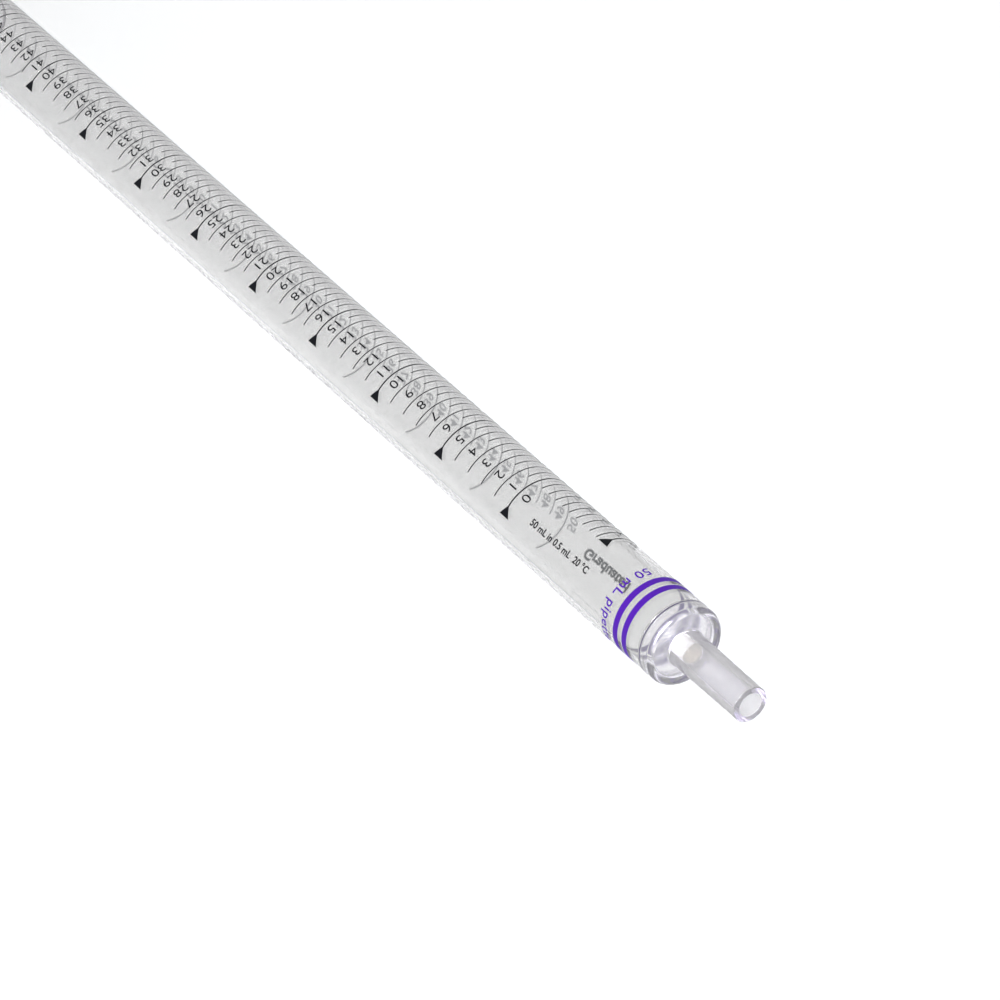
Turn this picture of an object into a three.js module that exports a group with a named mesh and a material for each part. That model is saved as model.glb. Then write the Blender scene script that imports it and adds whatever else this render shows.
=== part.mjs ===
// A 50 mL graduated (serological) pipette in clear polystyrene.
// It stands on the +Z axis, tip down: the orifice is at the origin and the mouth tube is at the top.
// Millimetres throughout. "Bore" is an inside surface, and every radius is measured from +Z.
import * as THREE from 'three';

const SEGMENTS = 72;
const ARC_STEPS = 5;

// Capacity, delivered from the zero line down to the orifice
const CAPACITY_MM3 = 50000;

// Body tube: an extruded tube cut square at both ends
const TUBE_RADIUS = 9.0;
const TUBE_WALL = 1.05;
const TUBE_BORE = TUBE_RADIUS - TUBE_WALL;

// Weld joints: each moulded end piece has a flange against the tube's end and a short lip inside it
const LIP_CLEARANCE = 0.05;
const LIP_RADIUS = TUBE_BORE - LIP_CLEARANCE;
const LIP_BORE = 7.5;
const LIP_LENGTH = 1.0;
const WELD_GAP = 0.05;

// Tip: flange, cone and nozzle
const TIP_LENGTH = 30.0;
const TIP_FLANGE = 2.0;
const NOZZLE_LENGTH = 8.0;
const NOZZLE_RADIUS = 3.2;
const NOZZLE_BORE = 2.1;
const ORIFICE_RADIUS = 2.4;
const ORIFICE_BORE = 1.3;
const ORIFICE_CHAMFER = 0.15;

// Mouthpiece, in heights above the zero line
const SHOULDER_BASE = 50.3;
const SHOULDER_FACE = 53.7;
const SHOULDER_ROUNDING = 1.1;
const CHAMBER_CEILING = 52.2;
const CHAMBER_ROUNDING = 0.4;
const NECK_ROUNDING = 0.5;
const MOUTH_END = 75.9;
const MOUTH_ROUNDING = 0.2;
const NECK_RADIUS = 4.15;
const MOUTH_RADIUS = 3.95;
const NECK_BORE = 2.47;
const MOUTH_BORE = 2.75;
const BORE_LEAD_IN = 0.4;

// Filter plug, in heights above the zero line
const PLUG_RADIUS = 2.42;
const PLUG_ROUNDING = 0.3;
const PLUG_BOTTOM = 51.0;
const PLUG_TOP = 56.8;

// Printed colour-code bands, in heights above the zero line
const BAND_WIDTH = 1.6;
const BAND_BOTTOMS = [40.9, 44.0];
const BAND_NAMES = ['colour_band_lower', 'colour_band_upper'];
const INK_GAP = 0.01;
const INK_THICKNESS = 0.04;

const CLEAR_POLYSTYRENE = { color: 0xe6eaec, roughness: 0.08, metalness: 0 };
const PURPLE_INK = { color: 0x6331bf, roughness: 0.35, metalness: 0 };
const WHITE_FIBRE = { color: 0xf1eee6, roughness: 0.9, metalness: 0 };

const QUARTER = Math.PI / 2;

/** Points [radius, height] along an arc between two angles, measured from the outward direction. */
function arc(centreRadius, centreHeight, rounding, from, to) {
  const points = [];
  for (let i = 0; i <= ARC_STEPS; i += 1) {
    const angle = from + ((to - from) * i) / ARC_STEPS;
    const radius = centreRadius + rounding * Math.cos(angle);
    const height = centreHeight + rounding * Math.sin(angle);
    points.push([radius, height]);
  }
  return points;
}

/** Volume inside a bore outline given from its lowest point to its highest, as a stack of cones. */
function boreVolume(outline) {
  let volume = 0;
  for (let i = 1; i < outline.length; i += 1) {
    const [low, lowHeight] = outline[i - 1];
    const [high, highHeight] = outline[i];
    const meanSquare = (low * low + low * high + high * high) / 3;
    volume += Math.PI * meanSquare * (highHeight - lowHeight);
  }
  return volume;
}

/** A turned solid about +Z. The outline runs up the outside and down the inside. */
function turned(name, outline, finish) {
  const profile = outline.map(([radius, height]) => new THREE.Vector2(radius, height));
  const geometry = new THREE.LatheGeometry(profile, SEGMENTS);
  geometry.rotateX(QUARTER);
  const mesh = new THREE.Mesh(geometry, new THREE.MeshStandardMaterial(finish));
  mesh.name = name;
  return mesh;
}

/** A turned solid with a hole through it: the outline closes on its own first point. */
function ring(name, outside, inside, finish) {
  return turned(name, [...outside, ...inside, outside[0]], finish);
}

const tipBore = [
  [ORIFICE_BORE, 0],
  [NOZZLE_BORE, NOZZLE_LENGTH],
  [LIP_BORE, TIP_LENGTH - TIP_FLANGE],
  [LIP_BORE, TIP_LENGTH + LIP_LENGTH],
];

const tubeArea = Math.PI * TUBE_BORE * TUBE_BORE;
const tipCapacity = boreVolume(tipBore);
const zeroLine = TIP_LENGTH + LIP_LENGTH + (CAPACITY_MM3 - tipCapacity) / tubeArea;

function makeTip() {
  const outside = [
    [ORIFICE_RADIUS - ORIFICE_CHAMFER, 0],
    [ORIFICE_RADIUS, ORIFICE_CHAMFER],
    [NOZZLE_RADIUS, NOZZLE_LENGTH],
    [TUBE_RADIUS, TIP_LENGTH - TIP_FLANGE],
    [TUBE_RADIUS, TIP_LENGTH],
    [LIP_RADIUS, TIP_LENGTH],
    [LIP_RADIUS, TIP_LENGTH + LIP_LENGTH],
  ];
  const inside = [...tipBore].reverse();
  return ring('tip', outside, inside, CLEAR_POLYSTYRENE);
}

function makeBodyTube() {
  const bottom = TIP_LENGTH + WELD_GAP;
  const top = zeroLine + SHOULDER_BASE - WELD_GAP;
  const outside = [[TUBE_RADIUS, bottom], [TUBE_RADIUS, top]];
  const inside = [[TUBE_BORE, top], [TUBE_BORE, bottom]];
  return ring('body_tube', outside, inside, CLEAR_POLYSTYRENE);
}

function makeMouthpiece() {
  const base = zeroLine + SHOULDER_BASE;
  const face = zeroLine + SHOULDER_FACE;
  const ceiling = zeroLine + CHAMBER_CEILING;
  const end = zeroLine + MOUTH_END;
  const lipEnd = base - LIP_LENGTH;
  const neckTop = face + NECK_ROUNDING;
  const shoulder = arc(TUBE_RADIUS - SHOULDER_ROUNDING, face - SHOULDER_ROUNDING,
    SHOULDER_ROUNDING, 0, QUARTER);
  const neck = arc(NECK_RADIUS + NECK_ROUNDING, neckTop, NECK_ROUNDING, -QUARTER, -2 * QUARTER);
  const rim = arc(MOUTH_RADIUS - MOUTH_ROUNDING, end - MOUTH_ROUNDING, MOUTH_ROUNDING, 0, QUARTER);
  const leadIn = arc(NECK_BORE + BORE_LEAD_IN, ceiling + BORE_LEAD_IN,
    BORE_LEAD_IN, 2 * QUARTER, 3 * QUARTER);
  const chamber = arc(LIP_BORE - CHAMBER_ROUNDING, ceiling - CHAMBER_ROUNDING,
    CHAMBER_ROUNDING, QUARTER, 0);
  const outside = [[LIP_RADIUS, lipEnd], [LIP_RADIUS, base], [TUBE_RADIUS, base],
    ...shoulder, ...neck, ...rim];
  const inside = [[MOUTH_BORE, end], ...leadIn, ...chamber, [LIP_BORE, lipEnd]];
  return ring('mouthpiece', outside, inside, CLEAR_POLYSTYRENE);
}

function makeFilterPlug() {
  const bottom = zeroLine + PLUG_BOTTOM;
  const top = zeroLine + PLUG_TOP;
  const shaft = PLUG_RADIUS - PLUG_ROUNDING;
  const outline = [
    [0, bottom],
    ...arc(shaft, bottom + PLUG_ROUNDING, PLUG_ROUNDING, -QUARTER, 0),
    ...arc(shaft, top - PLUG_ROUNDING, PLUG_ROUNDING, 0, QUARTER),
    [0, top],
  ];
  return turned('filter_plug', outline, WHITE_FIBRE);
}

function makeBand(index) {
  const bottom = zeroLine + BAND_BOTTOMS[index];
  const top = bottom + BAND_WIDTH;
  const inner = TUBE_RADIUS + INK_GAP;
  const outer = inner + INK_THICKNESS;
  const outside = [[outer, bottom], [outer, top]];
  const inside = [[inner, top], [inner, bottom]];
  return ring(BAND_NAMES[index], outside, inside, PURPLE_INK);
}

const pipette = new THREE.Group();
pipette.add(makeTip(), makeBodyTube(), makeMouthpiece(), makeFilterPlug());
BAND_BOTTOMS.forEach((_, index) => pipette.add(makeBand(index)));

export default pipette;
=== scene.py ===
"""Looks for the graduated pipette: clear mouldings, printed scale, fibre plug and studio."""

import math
import random

import bmesh
import bpy
from mathutils import Matrix, Vector, noise


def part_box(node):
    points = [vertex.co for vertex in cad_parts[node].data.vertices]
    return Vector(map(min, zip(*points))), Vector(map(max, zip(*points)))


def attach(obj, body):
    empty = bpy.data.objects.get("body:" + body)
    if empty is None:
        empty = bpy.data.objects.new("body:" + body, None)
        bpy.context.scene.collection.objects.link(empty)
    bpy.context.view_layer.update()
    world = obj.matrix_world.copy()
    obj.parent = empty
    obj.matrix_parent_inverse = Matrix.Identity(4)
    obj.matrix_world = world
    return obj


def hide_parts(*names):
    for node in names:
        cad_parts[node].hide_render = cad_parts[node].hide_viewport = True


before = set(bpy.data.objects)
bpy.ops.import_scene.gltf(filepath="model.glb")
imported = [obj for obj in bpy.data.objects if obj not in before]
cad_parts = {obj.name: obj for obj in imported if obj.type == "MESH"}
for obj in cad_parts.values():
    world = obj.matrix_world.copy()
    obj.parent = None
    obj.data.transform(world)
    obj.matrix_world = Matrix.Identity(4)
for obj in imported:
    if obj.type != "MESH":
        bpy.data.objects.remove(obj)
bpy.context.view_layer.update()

MM = 0.001
SEGMENTS = 256
ARC_STEPS = 10

# Sizes read from the frame, in metres
MOUTH_LOW, MOUTH_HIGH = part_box("mouthpiece")
TIP_LOW, TIP_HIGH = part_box("tip")
PLUG_LOW, PLUG_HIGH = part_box("filter_plug")
TUBE_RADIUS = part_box("body_tube")[1].x

# Sizes inside the tube and the mouldings, which no box gives
TUBE_WALL = 1.05 * MM
TUBE_BORE = TUBE_RADIUS - TUBE_WALL
LIP_BORE = 7.5 * MM

# The mouthpiece, in heights above the zero line
FLANGE_BASE = 50.3 * MM
CHAMBER_CEILING = 52.2 * MM
SHOULDER_FACE = 53.7 * MM
MOUTH_END = 75.9 * MM
ZERO_LINE = MOUTH_HIGH.z - MOUTH_END

# The tip, in heights above its end
NOZZLE_TOP = 8 * MM
TIP_FLANGE_BASE = 28 * MM
TIP_FLANGE_TOP = 30.0 * MM

# The welds are fused: the tube's ends sink this far into the mouldings, with no air between
FUSED = 0.004 * MM
LIP_RADIUS = TUBE_BORE + FUSED
MOUTH_WELD = ZERO_LINE + FLANGE_BASE
TIP_WELD = TIP_LOW.z + TIP_FLANGE_TOP

# Clear plastic
POLYSTYRENE_IOR = 1.59
ABSORPTION = 30.0
CORE_POLISH = 0.3  # how rough a polished stretch of a mould's core is, beside the rest of it

# Printed scale
CAPACITY = 50
LAST_MARK = 47
NEGATIVE_MARKS = 5
ML = 1e-6 / (math.pi * TUBE_BORE**2)
INK_DEPTH = 0.004 * MM
INK_HEIGHT = 0.018 * MM
INK_STEP = 0.35 * MM
PRINT_SKEW = 0.0036


# ---------------------------------------------------------------- materials

def new_material(name):
    """A material with one Principled shader: the material, its node tree and the shader."""
    material = bpy.data.materials.new(name)
    material.use_nodes = True
    tree = material.node_tree
    shader = tree.nodes["Principled BSDF"]
    return material, tree, shader


def add_node(tree, kind, **values):
    """A node of that kind, with its inputs set by name."""
    node = tree.nodes.new(kind)
    for name, value in values.items():
        node.inputs[name.replace("_", " ")].default_value = value
    return node


def stretched_noise(tree, scale, stretch, detail=2.0):
    """Noise in object space whose cells are drawn out along Z by stretch."""
    coords = tree.nodes.new("ShaderNodeTexCoord")
    mapping = tree.nodes.new("ShaderNodeMapping")
    mapping.inputs["Scale"].default_value = (1.0, 1.0, 1.0 / stretch)
    texture = add_node(tree, "ShaderNodeTexNoise", Scale=scale, Detail=detail)
    tree.links.new(coords.outputs["Object"], mapping.inputs["Vector"])
    tree.links.new(mapping.outputs["Vector"], texture.inputs["Vector"])
    return texture.outputs["Fac"]


def add_bump(tree, shader, heights, distance):
    """Bump on the shader, distance deep, from a height output."""
    bump = add_node(tree, "ShaderNodeBump", Strength=1.0, Distance=distance)
    tree.links.new(heights, bump.inputs["Height"])
    tree.links.new(bump.outputs["Normal"], shader.inputs["Normal"])


def map_range(tree, source, given, wanted):
    """The source value, moved from one range to another."""
    node = tree.nodes.new("ShaderNodeMapRange")
    for name, value in zip(("From Min", "From Max", "To Min", "To Max"), (*given, *wanted)):
        node.inputs[name].default_value = value
    tree.links.new(source, node.inputs["Value"])
    return node.outputs["Result"]


def ramp(tree, source, low, high, stops=(0.35, 0.65)):
    """A colour ramp between two colours, fed by a value output."""
    node = tree.nodes.new("ShaderNodeValToRGB")
    for element, place, colour in zip(node.color_ramp.elements, stops, (low, high)):
        element.position = place
        element.color = (*colour, 1.0)
    tree.links.new(source, node.inputs["Fac"])
    return node.outputs["Color"]


def clear_plastic(name, tints, depth_tint, clarity, core_rough, line_scale, line_stretch, line_depth):
    """Crystal polystyrene, less polished where a core shaped it. The bump is its flow or die lines."""
    material, tree, shader = new_material(name)
    shader.inputs["Transmission Weight"].default_value = clarity
    shader.inputs["IOR"].default_value = POLYSTYRENE_IOR
    tint = stretched_noise(tree, scale=60.0, stretch=line_stretch)
    colour = ramp(tree, tint, *tints)
    tree.links.new(colour, shader.inputs["Base Color"])
    scuffs = stretched_noise(tree, scale=900.0, stretch=3.0, detail=4.0)
    outside = map_range(tree, scuffs, given=(0.3, 0.8), wanted=(0.01, 0.04))
    inside = map_range(tree, scuffs, given=(0.3, 0.7), wanted=(core_rough * 0.75, core_rough * 1.15))
    rough = tree.nodes.new("ShaderNodeMix")
    tree.links.new(attribute(tree, "core_side"), rough.inputs["Factor"])
    tree.links.new(outside, rough.inputs["A"])
    tree.links.new(inside, rough.inputs["B"])
    tree.links.new(rough.outputs["Result"], shader.inputs["Roughness"])
    lines = stretched_noise(tree, line_scale, line_stretch, detail=1.0)
    add_bump(tree, shader, lines, line_depth)
    depth = tree.nodes.new("ShaderNodeVolumeAbsorption")
    depth.inputs["Color"].default_value = (*depth_tint, 1.0)
    depth.inputs["Density"].default_value = ABSORPTION
    output = tree.nodes["Material Output"]
    tree.links.new(depth.outputs["Volume"], output.inputs["Volume"])
    return material


def mix_colour(tree, factor, first, second):
    """The first colour turning into the second as factor goes from 0 to 1."""
    node = tree.nodes.new("ShaderNodeMix")
    node.data_type = "RGBA"
    tree.links.new(factor, node.inputs["Factor"])
    colours = [socket for socket in node.inputs if socket.type == "RGBA"]
    tree.links.new(first, colours[0])
    tree.links.new(second, colours[1])
    return next(socket for socket in node.outputs if socket.type == "RGBA")


def attribute(tree, name):
    """A number carried by the mesh's vertices."""
    node = tree.nodes.new("ShaderNodeAttribute")
    node.attribute_name = name
    return node.outputs["Fac"]


def ink(name, colour, dense, underside):
    """Screen-printed ink, a little uneven in density, and paler from below where it wets the plastic."""
    material, tree, shader = new_material(name)
    density = stretched_noise(tree, scale=2600.0, stretch=1.0, detail=3.0)
    top = ramp(tree, density, dense, colour)
    paler = [1.15 * part for part in underside]
    below = ramp(tree, density, underside, paler)
    mixed = mix_colour(tree, attribute(tree, "underside"), top, below)
    tree.links.new(mixed, shader.inputs["Base Color"])
    shader.inputs["Roughness"].default_value = 0.5
    shader.inputs["Specular IOR Level"].default_value = 0.1
    add_bump(tree, shader, density, 0.004 * MM)
    return material


def fibre(name):
    """Matted white filter fibre, with painted shade: its upward-facing end is painted a darker beige."""
    material, tree, shader = new_material(name)
    mat = stretched_noise(tree, scale=2400.0, stretch=2.0, detail=5.0)
    stops = (0.3, 0.6)
    side = ramp(tree, mat, (0.955, 0.95, 0.935), (0.995, 0.995, 0.99), stops)
    # Painted shade: a darker beige for the end that faces up, where the light from above falls strongest
    painted_shade_top = ramp(tree, mat, (0.76, 0.735, 0.69), (0.86, 0.835, 0.79), stops)
    coords = tree.nodes.new("ShaderNodeTexCoord")
    facing = tree.nodes.new("ShaderNodeSeparateXYZ")
    tree.links.new(coords.outputs["Normal"], facing.inputs["Vector"])
    facing_up = map_range(tree, facing.outputs["Z"], given=(0.5, 0.95), wanted=(0.0, 1.0))
    tree.links.new(mix_colour(tree, facing_up, side, painted_shade_top), shader.inputs["Base Color"])
    shader.inputs["Roughness"].default_value = 0.85
    add_bump(tree, shader, mat, 0.06 * MM)
    return material


# ---------------------------------------------------------------- turned shapes

def arc(centre, rounding, start, end):
    """Points (radius, height) on an arc between two angles in quarter turns from outward."""
    points = []
    for i in range(ARC_STEPS + 1):
        angle = math.pi / 2 * (start + (end - start) * i / ARC_STEPS)
        radius = centre[0] + rounding * math.cos(angle)
        points.append((radius, centre[1] + rounding * math.sin(angle)))
    return points


def turned(name, outline, material, closed=True, core=0, polished=0):
    """A solid turned about Z. A closed outline is a ring, and an open one starts and ends on the axis.
    The last core points of the outline are marked as the side shaped by the mould's core, which was
    polished for the last few of them."""
    mesh = bpy.data.meshes.new(name)
    shape = bmesh.new()
    marks = shape.verts.layers.float.new("core_side")
    rows = []
    for radius, height in outline:
        count = SEGMENTS if radius > 0 else 1
        turns = [2 * math.pi * i / count for i in range(count)]
        rows.append([shape.verts.new((radius * math.sin(t), -radius * math.cos(t), height)) for t in turns])
    for i in range(core):
        for vertex in rows[-1 - i]:
            vertex[marks] = CORE_POLISH if i < polished else 1.0
    following = rows[1:] + rows[:1] if closed else rows[1:]
    for low, high in zip(rows, following):
        for i in range(SEGMENTS):
            j = i + 1
            corners = [low[i % len(low)], low[j % len(low)], high[j % len(high)], high[i % len(high)]]
            distinct = list(dict.fromkeys(corners))
            shape.faces.new(distinct)
    shape.to_mesh(mesh)
    shape.free()
    return finished(mesh, material)


def finished(mesh, material, sharp_angle=35.0):
    """An object for the mesh, smooth except at its corners, with flat faces kept flat in the light."""
    mesh.materials.append(material)
    mesh.shade_smooth()
    mesh.set_sharp_from_angle(angle=math.radians(sharp_angle))
    piece = bpy.data.objects.new(mesh.name, mesh)
    bpy.context.scene.collection.objects.link(piece)
    return piece


def weigh_normals(piece):
    """Lets each large face set the light at its own edges, so that a rounding doesn't bend it."""
    weighted = piece.modifiers.new("face_weighted", "WEIGHTED_NORMAL")
    weighted.keep_sharp = True
    return piece


# ---------------------------------------------------------------- clear pieces

def make_body_tube(material):
    """The extruded tube, its cut ends broken by a hair."""
    edge = 0.03 * MM
    low, high = TIP_WELD - FUSED, MOUTH_WELD + FUSED
    outline = [
        *arc((TUBE_RADIUS - edge, low + edge), edge, -1, 0),
        *arc((TUBE_RADIUS - edge, high - edge), edge, 0, 1),
        (TUBE_BORE, high),
        (TUBE_BORE, low),
    ]
    return weigh_normals(turned("barrel_tube", outline, material, core=2))


def make_mouthpiece(material):
    """Flange, rounded shoulder, flat step and mouth tube, with the lip and chamber below."""
    base = MOUTH_WELD
    face = ZERO_LINE + SHOULDER_FACE
    ceiling = ZERO_LINE + CHAMBER_CEILING
    end = MOUTH_HIGH.z
    lip_end = MOUTH_LOW.z
    shoulder, fillet, rim = 1.1 * MM, 0.5 * MM, 0.2 * MM
    corner, lead_in, edge = 0.4 * MM, 0.4 * MM, 0.03 * MM
    neck, mouth = 4.15 * MM, 3.95 * MM
    neck_bore, mouth_bore = 2.47 * MM, 2.75 * MM
    outside = [
        *arc((LIP_RADIUS - edge, lip_end + edge), edge, -1, 0),
        (LIP_RADIUS, base),
        *arc((TUBE_RADIUS - edge, base + edge), edge, -1, 0),
        *arc((TUBE_RADIUS - shoulder, face - shoulder), shoulder, 0, 1),
        *arc((neck + fillet, face + fillet), fillet, -1, -2),
        *arc((mouth - rim, end - rim), rim, 0, 1),
    ]
    inside = [
        *arc((mouth_bore + edge, end - edge), edge, 1, 2),
        *arc((neck_bore + lead_in, ceiling + lead_in), lead_in, 2, 3),
        *arc((LIP_BORE - corner, ceiling - corner), corner, 1, 0),
        (LIP_BORE, lip_end),
    ]
    chamber_wall = ARC_STEPS // 2 + 1
    piece = turned("mouth_moulding", outside + inside, material, core=len(inside), polished=chamber_wall)
    return weigh_normals(piece)


def make_tip(material):
    """Flange, cone and nozzle, blended into each other, with the lip above."""
    flange_low = TIP_LOW.z + TIP_FLANGE_BASE
    flange_high = TIP_WELD
    nozzle_top = NOZZLE_TOP
    orifice, orifice_bore = 2.4 * MM, 1.3 * MM
    nozzle, nozzle_bore = 3.2 * MM, 2.1 * MM
    edge = 0.15 * MM
    outside = [
        *arc((orifice - edge, edge), edge, -1, 0),
        *bend((orifice, edge), (nozzle, nozzle_top), (TUBE_RADIUS, flange_low)),
        *bend((nozzle, nozzle_top), (TUBE_RADIUS, flange_low), (TUBE_RADIUS, flange_high)),
        *arc((TUBE_RADIUS - edge, flange_high - edge), edge, 0, 1),
        (LIP_RADIUS, flange_high),
        (LIP_RADIUS, TIP_HIGH.z),
    ]
    inside = [
        (LIP_BORE, TIP_HIGH.z),
        *bend((LIP_BORE, TIP_HIGH.z), (LIP_BORE, flange_low), (nozzle_bore, nozzle_top)),
        *bend((LIP_BORE, flange_low), (nozzle_bore, nozzle_top), (orifice_bore, 0.0)),
        (orifice_bore, 0.0),
    ]
    return weigh_normals(turned("tip_moulding", outside + inside, material, core=len(inside)))


def bend(before, corner, after, reach=1.2 * MM):
    """Points that round a corner of an outline, leaving each straight side reach from it."""
    start = Vector(corner) + (Vector(before) - Vector(corner)).normalized() * reach
    end = Vector(corner) + (Vector(after) - Vector(corner)).normalized() * reach
    points = []
    for i in range(ARC_STEPS + 1):
        t = i / ARC_STEPS
        point = start * (1 - t) ** 2 + Vector(corner) * 2 * t * (1 - t) + end * t**2
        points.append(tuple(point))
    return points


# ---------------------------------------------------------------- filter plug

def make_plug(material):
    """The fibre plug: a cylinder a little uneven all over, with soft edges."""
    radius = PLUG_HIGH.x
    rounding = 0.35 * MM
    low, high = PLUG_LOW.z, PLUG_HIGH.z
    rings = 40
    flats = 12
    shaft = radius - rounding
    outline = [(0.0, low)]
    outline += [(shaft * i / flats, low) for i in range(1, flats)]
    outline += arc((shaft, low + rounding), rounding, -1, 0)
    step = (high - low - 2 * rounding) / rings
    outline += [(radius, low + rounding + step * i) for i in range(1, rings)]
    outline += arc((shaft, high - rounding), rounding, 0, 1)
    outline += [(shaft * i / flats, high) for i in range(flats - 1, 0, -1)]
    outline.append((0.0, high))
    plug = turned("plug_body", outline, material, closed=False)
    unevenness = 0.07 * MM
    lumps_per_metre = 1400.0
    for vertex in plug.data.vertices:
        inward = 0.5 + 0.5 * noise.noise(vertex.co * lumps_per_metre)
        vertex.co -= vertex.normal * unevenness * inward
    return plug


def make_strands(material):
    """Fine loose fibres lying on the plug's mouth end."""
    draw = random.Random(11)
    strands = bpy.data.curves.new("plug_strands", "CURVE")
    strands.dimensions = "3D"
    strands.bevel_depth = 0.008 * MM
    strands.bevel_resolution = 1
    strands.use_fill_caps = True
    radius = PLUG_HIGH.x * 0.93
    strand_count = 90
    points_each = 7
    step = 0.22 * MM
    for _ in range(strand_count):
        heading = draw.uniform(0, 2 * math.pi)
        place = Vector((draw.uniform(-1, 1), draw.uniform(-1, 1))) * radius
        curl = draw.uniform(-0.6, 0.6)
        spline = strands.splines.new("POLY")
        spline.points.add(points_each - 1)
        for point in spline.points:
            if place.length > radius:
                place *= radius / place.length
            lift = draw.uniform(-0.03, 0.0) * MM
            point.co = (place.x, place.y, PLUG_HIGH.z + lift, 1.0)
            place += Vector((math.cos(heading), math.sin(heading))) * step
            heading += curl
    piece = bpy.data.objects.new("plug_strands", strands)
    bpy.context.scene.collection.objects.link(piece)
    strands.materials.append(material)
    return piece


# ---------------------------------------------------------------- print

class Print:
    """Ink laid on the tube. s is the distance round the tube from the front, positive to the right."""

    def __init__(self):
        self.shape = bmesh.new()
        self.underside = self.shape.verts.layers.float.new("underside")

    def vertex(self, s, height, lift):
        """A new vertex at s and a height above the zero line, lift above the tube's surface."""
        turn = (s + PRINT_SKEW * height) / TUBE_RADIUS
        radius = TUBE_RADIUS + lift
        place = (radius * math.sin(turn), -radius * math.cos(turn), ZERO_LINE + height)
        made = self.shape.verts.new(place)
        made[self.underside] = 1.0 if lift < 0 else 0.0
        return made

    def patch(self, points, faces, rim):
        """A thin solid over a flat patch: its points (s, height), its faces and its boundary edges."""
        under = [self.vertex(s, h, -INK_DEPTH) for s, h in points]
        over = [self.vertex(s, h, INK_HEIGHT) for s, h in points]
        for face in faces:
            self.shape.faces.new([over[i] for i in face])
            self.shape.faces.new([under[i] for i in reversed(face)])
        for a, b in rim:
            self.shape.faces.new([under[a], under[b], over[b], over[a]])

    def strip(self, columns):
        """A mark given as columns (s, lowest height, highest height), from left to right."""
        points = []
        for s, low, high in columns:
            points += [(s, low), (s, high)]
        last = 2 * len(columns) - 2
        steps = range(0, last, 2)
        faces = [(i, i + 2, i + 3, i + 1) for i in steps]
        rim = [(i, i + 2) for i in steps] + [(i + 3, i + 1) for i in steps]
        rim += [(1, 0), (last, last + 1)]
        self.patch(points, faces, rim)

    def line(self, left, right, height, thickness, pointer=0.0, pointer_height=0.0):
        """A line round the tube. A pointer makes its right end a solid triangle that wide."""
        count = max(2, math.ceil((right - pointer - left) / INK_STEP))
        half = thickness / 2
        columns = []
        for i in range(count + 1):
            s = left + (right - pointer - left) * i / count
            columns.append((s, height - half, height + half))
        steps = math.ceil(pointer / INK_STEP)
        for i in range(1, steps + 1):
            grown = half + (pointer_height / 2 - half) * i / steps
            columns.append((right - pointer + pointer * i / steps, height - grown, height + grown))
        self.strip(columns)

    def text(self, words, s, height, size, bold, along_tube=False, spacing=1.0):
        """Words centred at s and height, upright or, along the tube, reading upwards."""
        points, faces, rim = flat_text(words, size, along_tube, bold, spacing)
        placed = [(s - y, height + x) if along_tube else (s + x, height + y) for x, y in points]
        self.patch(placed, faces, rim)

    def piece(self, name, material, slot):
        """The finished print as an object that rides on the barrel."""
        mesh = bpy.data.meshes.new(name)
        self.shape.to_mesh(mesh)
        self.shape.free()
        mesh.materials.append(material)
        made = bpy.data.objects.new(name, mesh)
        bpy.context.scene.collection.objects.link(made)
        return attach(made, "barrel")


def flat_text(words, size, along_tube, bold, spacing):
    """Filled letters as (points, faces, rim edges), centred on 0, 0 and cut into narrow columns."""
    curve = bpy.data.curves.new("letters", "FONT")
    curve.body = words
    curve.resolution_u = 4
    curve.offset = bold
    curve.space_character = spacing
    letters = bpy.data.objects.new("letters", curve)
    mesh = bpy.data.meshes.new_from_object(letters)
    shape = bmesh.new()
    shape.from_mesh(mesh)
    bpy.data.objects.remove(letters)
    bpy.data.curves.remove(curve)
    bpy.data.meshes.remove(mesh)
    centre_and_scale(shape, size)
    cut_across(shape, 1 if along_tube else 0)
    shape.verts.index_update()
    points = [(v.co.x, v.co.y) for v in shape.verts]
    faces = []
    rim = []
    for face in shape.faces:
        order = [v.index for v in face.verts]
        faces.append(order if face.normal.z > 0 else order[::-1])
        for a, b in zip(faces[-1], faces[-1][1:] + faces[-1][:1]):
            edge = shape.edges.get((shape.verts[a], shape.verts[b]))
            if edge.is_boundary:
                rim.append((a, b))
    shape.free()
    return points, faces, rim


def centre_and_scale(shape, size):
    """Scales letters so that a capital is size tall, with the middle of the words at 0, 0."""
    cap_height = 0.69
    low = min(v.co.x for v in shape.verts)
    high = max(v.co.x for v in shape.verts)
    move = Matrix.Translation((-(low + high) / 2, -cap_height / 2, 0.0))
    bmesh.ops.transform(shape, matrix=Matrix.Scale(size / cap_height, 4) @ move, verts=shape.verts)
    bmesh.ops.remove_doubles(shape, verts=shape.verts, dist=1e-4 * size)
    shape.verts.ensure_lookup_table()


def cut_across(shape, axis):
    """Cuts the letters into narrow columns, so that they can follow the tube."""
    low = min(v.co[axis] for v in shape.verts)
    high = max(v.co[axis] for v in shape.verts)
    normal = Vector((1.0, 0.0, 0.0)) if axis == 0 else Vector((0.0, 1.0, 0.0))
    for i in range(1, math.ceil((high - low) / INK_STEP)):
        geometry = shape.verts[:] + shape.edges[:] + shape.faces[:]
        place = normal * (low + i * INK_STEP)
        bmesh.ops.bisect_plane(shape, geom=geometry, plane_co=place, plane_no=normal)
    shape.verts.ensure_lookup_table()


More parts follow.
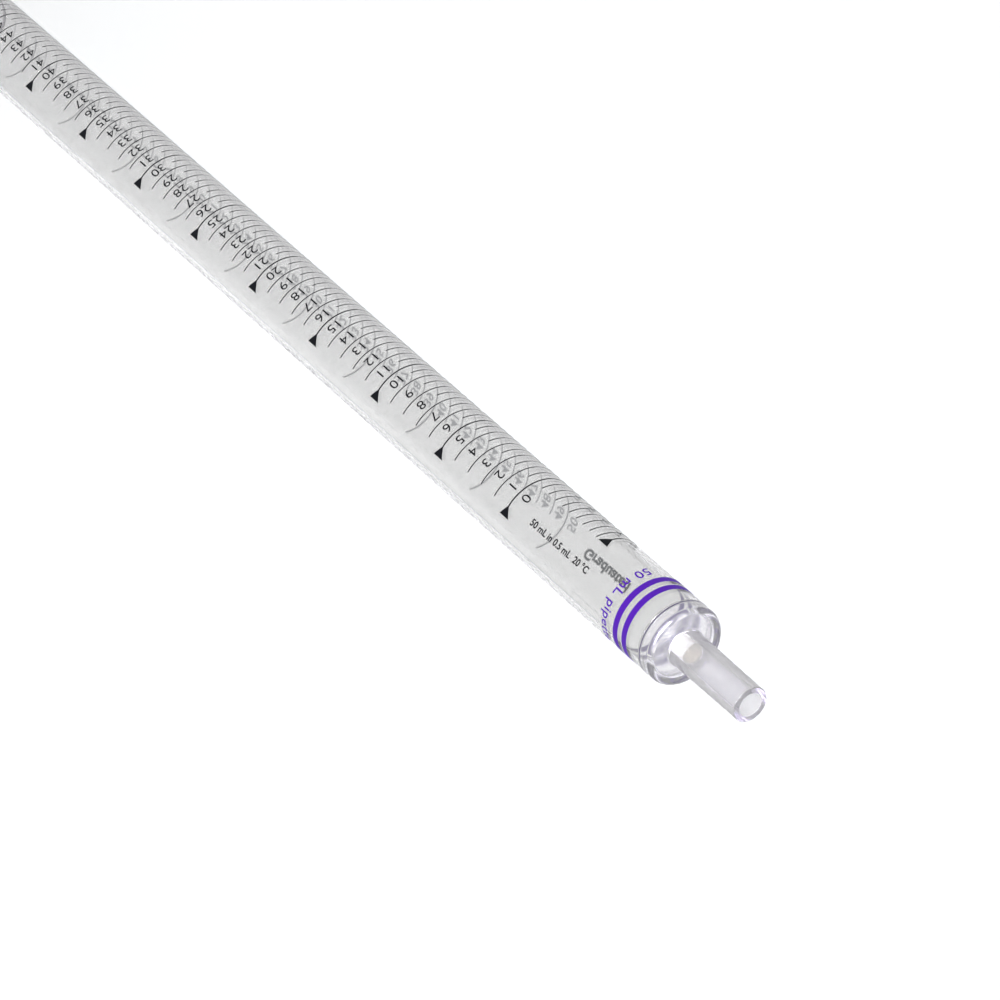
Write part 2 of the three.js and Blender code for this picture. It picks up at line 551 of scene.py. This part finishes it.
# Where the print stands, round the tube and above the zero line, and its sizes
TRIANGLE_RIGHT = 4.7 * MM
TRIANGLE_WIDTH = 2.3 * MM
TRIANGLE_HEIGHT = 3.1 * MM
LONG_LEFT = -34.5 * MM
MEDIUM_RIGHT = 2.7 * MM
MEDIUM_LEFT = -25.9 * MM
SHORT_RIGHT = -5.25 * MM
SHORT_LEFT = -17.9 * MM
NUMBERS_AT = -1.3 * MM
REVERSE_NUMBERS_AT = -24.0 * MM
NEGATIVE_NUMBERS_AT = -11.6 * MM
NEGATIVE_TRIANGLE_RIGHT = -5.1 * MM
NUMBER_SIZE = 2.5 * MM
NUMBER_RISE = 2.5 * MM
SMALL_NUMBER_SIZE = 1.8 * MM
BOLD = 0.36 * MM
FINE = 0.27 * MM
NUMBER_BOLD = 0.0
BACK_NUMBER_BOLD = 0.014
LEGEND_AT = 1.45 * MM
LEGEND_RISE = 18.0 * MM
LEGEND_SIZE = 1.5 * MM
LEGEND_BOLD = 0.02
WORD_AT = -27.0 * MM
WORD_RISE = 17.0 * MM
WORD_SIZE = 2.5 * MM
WORD_BOLD = 0.035
CAPACITY_AT = 2.6 * MM
CAPACITY_RISE = 38.2 * MM
CAPACITY_SIZE = 2.3 * MM
CAPACITY_BOLD = 0.01
CAPACITY_SPACING = 1.1


def print_marks(material):
    """Every line of the scale, with a pointer on each 5 mL."""
    marks = Print()
    for half_ml in range(2 * LAST_MARK + 1):
        height = -half_ml * ML / 2
        if half_ml % 10 == 0:
            marks.line(LONG_LEFT, TRIANGLE_RIGHT, height, BOLD, TRIANGLE_WIDTH, TRIANGLE_HEIGHT)
        elif half_ml % 2 == 0:
            marks.line(MEDIUM_LEFT, MEDIUM_RIGHT, height, FINE)
        else:
            marks.line(SHORT_LEFT, SHORT_RIGHT, height, FINE)
    for half_ml in range(1, 2 * NEGATIVE_MARKS):
        marks.line(SHORT_LEFT, SHORT_RIGHT, half_ml * ML / 2, FINE)
    top = NEGATIVE_MARKS * ML
    marks.line(SHORT_LEFT, NEGATIVE_TRIANGLE_RIGHT, top, BOLD, TRIANGLE_WIDTH, TRIANGLE_HEIGHT)
    return marks.piece("scale_marks", material, "scale_ink")


def print_numbers(material):
    """Delivered volume down the front, what is left down the back, and the overfill above zero."""
    front, back, above = Print(), Print(), Print()
    for ml in range(LAST_MARK + 1):
        height = -ml * ML + NUMBER_RISE
        front.text(str(ml), NUMBERS_AT, height, NUMBER_SIZE, NUMBER_BOLD)
        back.text(str(CAPACITY - ml), REVERSE_NUMBERS_AT, height, NUMBER_SIZE, BACK_NUMBER_BOLD)
    for ml in range(1, NEGATIVE_MARKS + 1):
        above.text(f"-{ml}", NEGATIVE_NUMBERS_AT, ml * ML + NUMBER_RISE, SMALL_NUMBER_SIZE, NUMBER_BOLD)
    front.piece("scale_numbers_front", material, "scale_ink")
    back.piece("scale_numbers_back", material, "scale_ink")
    above.piece("scale_numbers_overfill", material, "scale_ink")


def print_words(black, purple):
    """The capacity legend up the front, the word up the back and the capacity under the bands."""
    legend = Print()
    words = "50 mL in 0.5 mL  20 °C"
    legend.text(words, LEGEND_AT, LEGEND_RISE, LEGEND_SIZE, LEGEND_BOLD, along_tube=True)
    legend.piece("legend_print", black, "scale_ink")
    word = Print()
    word.text("Graduated", WORD_AT, WORD_RISE, WORD_SIZE, WORD_BOLD, along_tube=True)
    word.piece("back_print", black, "scale_ink")
    capacity = Print()
    place = (CAPACITY_AT, CAPACITY_RISE)
    capacity.text("50 mL pipette", *place, CAPACITY_SIZE, CAPACITY_BOLD, spacing=CAPACITY_SPACING)
    capacity.piece("capacity_print", purple, "band_ink")


def make_band(node, material):
    """A printed colour-code band, smooth all round, in place of the CAD ring."""
    low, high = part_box(node)
    inner = TUBE_RADIUS - INK_DEPTH
    outer = TUBE_RADIUS + INK_HEIGHT
    outline = [(outer, low.z), (outer, high.z), (inner, high.z), (inner, low.z)]
    band = turned(f"{node}_print", outline, material)
    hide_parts(node)
    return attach(band, "barrel")


def make_weld(name, height):
    """The fine bead of melted plastic squeezed out along a welded joint. Its dark violet is painted shade
    for the dark line along the joint.
    """
    material, tree, shader = new_material(name)
    joint_shade = stretched_noise(tree, scale=1500.0, stretch=0.4, detail=3.0)
    # Painted shade: the dark violet stands for the dark line that the joint shows
    colour = ramp(tree, joint_shade, (0.012, 0.006, 0.05), (0.04, 0.022, 0.12))
    tree.links.new(colour, shader.inputs["Base Color"])
    shader.inputs["Roughness"].default_value = 0.3
    add_bump(tree, shader, joint_shade, 0.01 * MM)
    inner, outer = TUBE_RADIUS - 0.15 * MM, TUBE_RADIUS + 0.03 * MM
    half = 0.13 * MM
    outline = [
        (inner, height - half),
        *arc((outer - half, height), half, -1, 1),
        (inner, height + half),
    ]
    bead = turned(name, outline, material)
    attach(bead, "barrel")


# ---------------------------------------------------------------- studio

# Power of the small lights round the seated plug, in watts
SIDE_POWER = 0.0026
TOP_POWER = 0.0038


def make_floor():
    """A plain pale floor."""
    half = 4.0
    height = TIP_LOW.z - 0.1 * MM
    mesh = bpy.data.meshes.new("floor")
    corners = [(-half, -half), (half, -half), (half, half), (-half, half)]
    mesh.from_pydata([(x, y, height) for x, y in corners], [], [(0, 1, 2, 3)])
    floor = bpy.data.objects.new("floor", mesh)
    bpy.context.scene.collection.objects.link(floor)
    material, _, shader = new_material("floor_white")
    shader.inputs["Base Color"].default_value = (0.5, 0.5, 0.5, 1.0)
    shader.inputs["Roughness"].default_value = 0.9
    mesh.materials.append(material)


def make_softbox(name, place, aim, size, power, spread):
    """A softbox at place, turned to face aim, with a grid that narrows it to spread degrees."""
    light = bpy.data.lights.new(name, "AREA")
    light.shape = "RECTANGLE"
    light.size, light.size_y = size
    light.energy = power
    light.spread = math.radians(spread)
    box = bpy.data.objects.new(name, light)
    box.location = place
    box.rotation_euler = (Vector(aim) - Vector(place)).to_track_quat("-Z", "Y").to_euler()
    bpy.context.scene.collection.objects.link(box)
    return box


def link_light(light, pieces, state):
    """Makes a light reach only the pieces, with state INCLUDE, or all but the pieces, with EXCLUDE."""
    receivers = bpy.data.collections.new(f"{light.name}_receivers")
    for piece in pieces:
        receivers.objects.link(piece)
    for entry in receivers.collection_objects:
        entry.light_linking.link_state = state
    light.light_linking.receiver_collection = receivers


def light_seated_plug(pieces):
    """The surroundings' light on the seated plug, which the renderer doesn't carry through the plastic.
    It comes from close round the plug, so it stays behind when the plug is pulled out."""
    middle = (PLUG_LOW.z + PLUG_HIGH.z) / 2
    reach = 7 * MM
    above = PLUG_HIGH.z + 10 * MM
    side_size = 14 * MM
    top_size = 28 * MM
    boxes = [
        ("left", (-reach, 0.0, middle), side_size, SIDE_POWER),
        ("right", (reach, 0.0, middle), side_size, SIDE_POWER),
        ("front", (0.0, -reach, middle), side_size, SIDE_POWER),
        ("back", (0.0, reach, middle), side_size, SIDE_POWER),
        ("top", (0.0, 0.0, above), top_size, TOP_POWER),
    ]
    aim = (0.0, 0.0, middle)
    for name, place, size, power in boxes:
        box = make_softbox(f"plug_{name}_softbox", place, aim, (size, size), power, spread=180.0)
        link_light(box, pieces, "INCLUDE")
        hide_from_view(box)


def hide_from_view(light):
    """Keeps the light itself out of the picture, its reflections and what is seen through plastic."""
    light.visible_camera = False
    light.visible_glossy = False
    light.visible_transmission = False


def make_lights():
    """A large softbox above the camera, a strip low on the right and a bright surround."""
    plug = [bpy.data.objects["plug_body"], bpy.data.objects["plug_strands"]]
    key = make_softbox("key_softbox", place=(0.2, -0.7, 1.9), aim=(0.0, 1.2, 0.0),
                       size=(1.6, 1.6), power=19.0, spread=90.0)
    link_light(key, plug, "EXCLUDE")
    light_seated_plug(plug)
    make_softbox("strip_softbox", place=(0.24, 0.01, 0.25), aim=(0.24, 0.01, 0.0),
                 size=(0.28, 0.07), power=0.08, spread=60.0)
    world = bpy.data.worlds.new("surround")
    world.use_nodes = True
    background = world.node_tree.nodes["Background"]
    background.inputs["Color"].default_value = (0.975, 0.985, 1.0, 1.0)
    background.inputs["Strength"].default_value = 0.83
    bpy.context.scene.world = world


# The camera as fitted to the photograph: before the tube, above the zero line, and turned
CAMERA_BEFORE = 800.33 * MM
CAMERA_ABOVE = 735.07 * MM
CAMERA_AZIMUTH = math.radians(0.183)
CAMERA_ELEVATION = math.radians(-42.994)
CAMERA_ROLL = math.radians(131.602)
CAMERA_LENS = 189.38
CAMERA_SENSOR = 36.0


def make_camera():
    """A long lens above and in front of the mouth end, looking down, rolled to lay the tube diagonally."""
    data = bpy.data.cameras.new("camera")
    data.sensor_width = CAMERA_SENSOR
    data.lens = CAMERA_LENS
    camera = bpy.data.objects.new("camera", data)
    level_part = math.cos(CAMERA_ELEVATION)
    toward = Vector((math.sin(CAMERA_AZIMUTH) * level_part,
                     math.cos(CAMERA_AZIMUTH) * level_part, math.sin(CAMERA_ELEVATION)))
    place = Vector((0.0, -CAMERA_BEFORE, ZERO_LINE + CAMERA_ABOVE))
    level = toward.to_track_quat("-Z", "Y").to_matrix().to_4x4()
    camera.matrix_world = Matrix.Translation(place) @ level @ Matrix.Rotation(CAMERA_ROLL, 4, "Z")
    bpy.context.scene.collection.objects.link(camera)
    bpy.context.scene.camera = camera


def set_look():
    """A high-key tone curve that takes a pale floor to white, and enough bounces for clear walls."""
    knee = 0.62
    white = 0.80
    scene = bpy.context.scene
    scene.view_settings.view_transform = "Standard"
    scene.view_settings.use_curve_mapping = True
    mapping = scene.view_settings.curve_mapping
    curve = mapping.curves[3]
    curve.points.new(knee, knee)
    curve.points[-1].location = (white, 1.0)
    for point in curve.points:
        point.handle_type = "VECTOR"
    mapping.update()
    scene.cycles.caustics_refractive = False
    scene.cycles.caustics_reflective = False
    scene.cycles.max_bounces = 24
    scene.cycles.glossy_bounces = 16
    scene.cycles.transmission_bounces = 24


# ---------------------------------------------------------------- assembly

def make_clear_pieces():
    """The tube and its two end mouldings, each in its own clear plastic."""
    extruded = clear_plastic(
        "extruded_polystyrene",
        tints=((0.897, 0.895, 0.892), (0.917, 0.915, 0.912)),
        depth_tint=(0.6, 0.59, 0.6),
        clarity=0.97,
        core_rough=0.06,
        line_scale=250.0,
        line_stretch=80.0,
        line_depth=0.0003 * MM,
    )
    moulded = clear_plastic(
        "moulded_polystyrene",
        tints=((0.918, 0.913, 0.922), (0.938, 0.933, 0.942)),
        depth_tint=(0.70, 0.63, 0.84),
        clarity=0.90,
        core_rough=0.22,
        line_scale=400.0,
        line_stretch=20.0,
        line_depth=0.0012 * MM,
    )
    made = {
        "body_tube": make_body_tube(extruded),
        "mouthpiece": make_mouthpiece(moulded),
        "tip": make_tip(moulded),
    }
    for node, piece in made.items():
        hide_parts(node)
        piece.visible_shadow = False
        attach(piece, "barrel")


def make_filter():
    """The plug and its loose fibres, which move together."""
    material = fibre("filter_fibre")
    plug = make_plug(material)
    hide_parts("filter_plug")
    for piece in (plug, make_strands(material)):
        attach(piece, "plug")


black = ((0.004, 0.005, 0.009), (0.001, 0.0015, 0.003))
purple = ((0.088, 0.014, 0.40), (0.07, 0.010, 0.35))
black_ink = ink("scale_ink_black", *black, (0.30, 0.31, 0.335))
number_ink = ink("scale_ink_numbers", *black, (0.50, 0.51, 0.54))
dense_ink = ink("scale_ink_dense", *black, (0.028, 0.038, 0.048))
purple_ink = ink("band_ink_purple", *purple, purple[0])

make_camera()
make_clear_pieces()
make_filter()
make_band("colour_band_lower", purple_ink)
make_band("colour_band_upper", purple_ink)
print_marks(black_ink)
print_numbers(number_ink)
print_words(dense_ink, purple_ink)
make_weld("mouth_weld", MOUTH_WELD)
make_weld("tip_weld", TIP_WELD)
make_floor()
make_lights()
set_look()
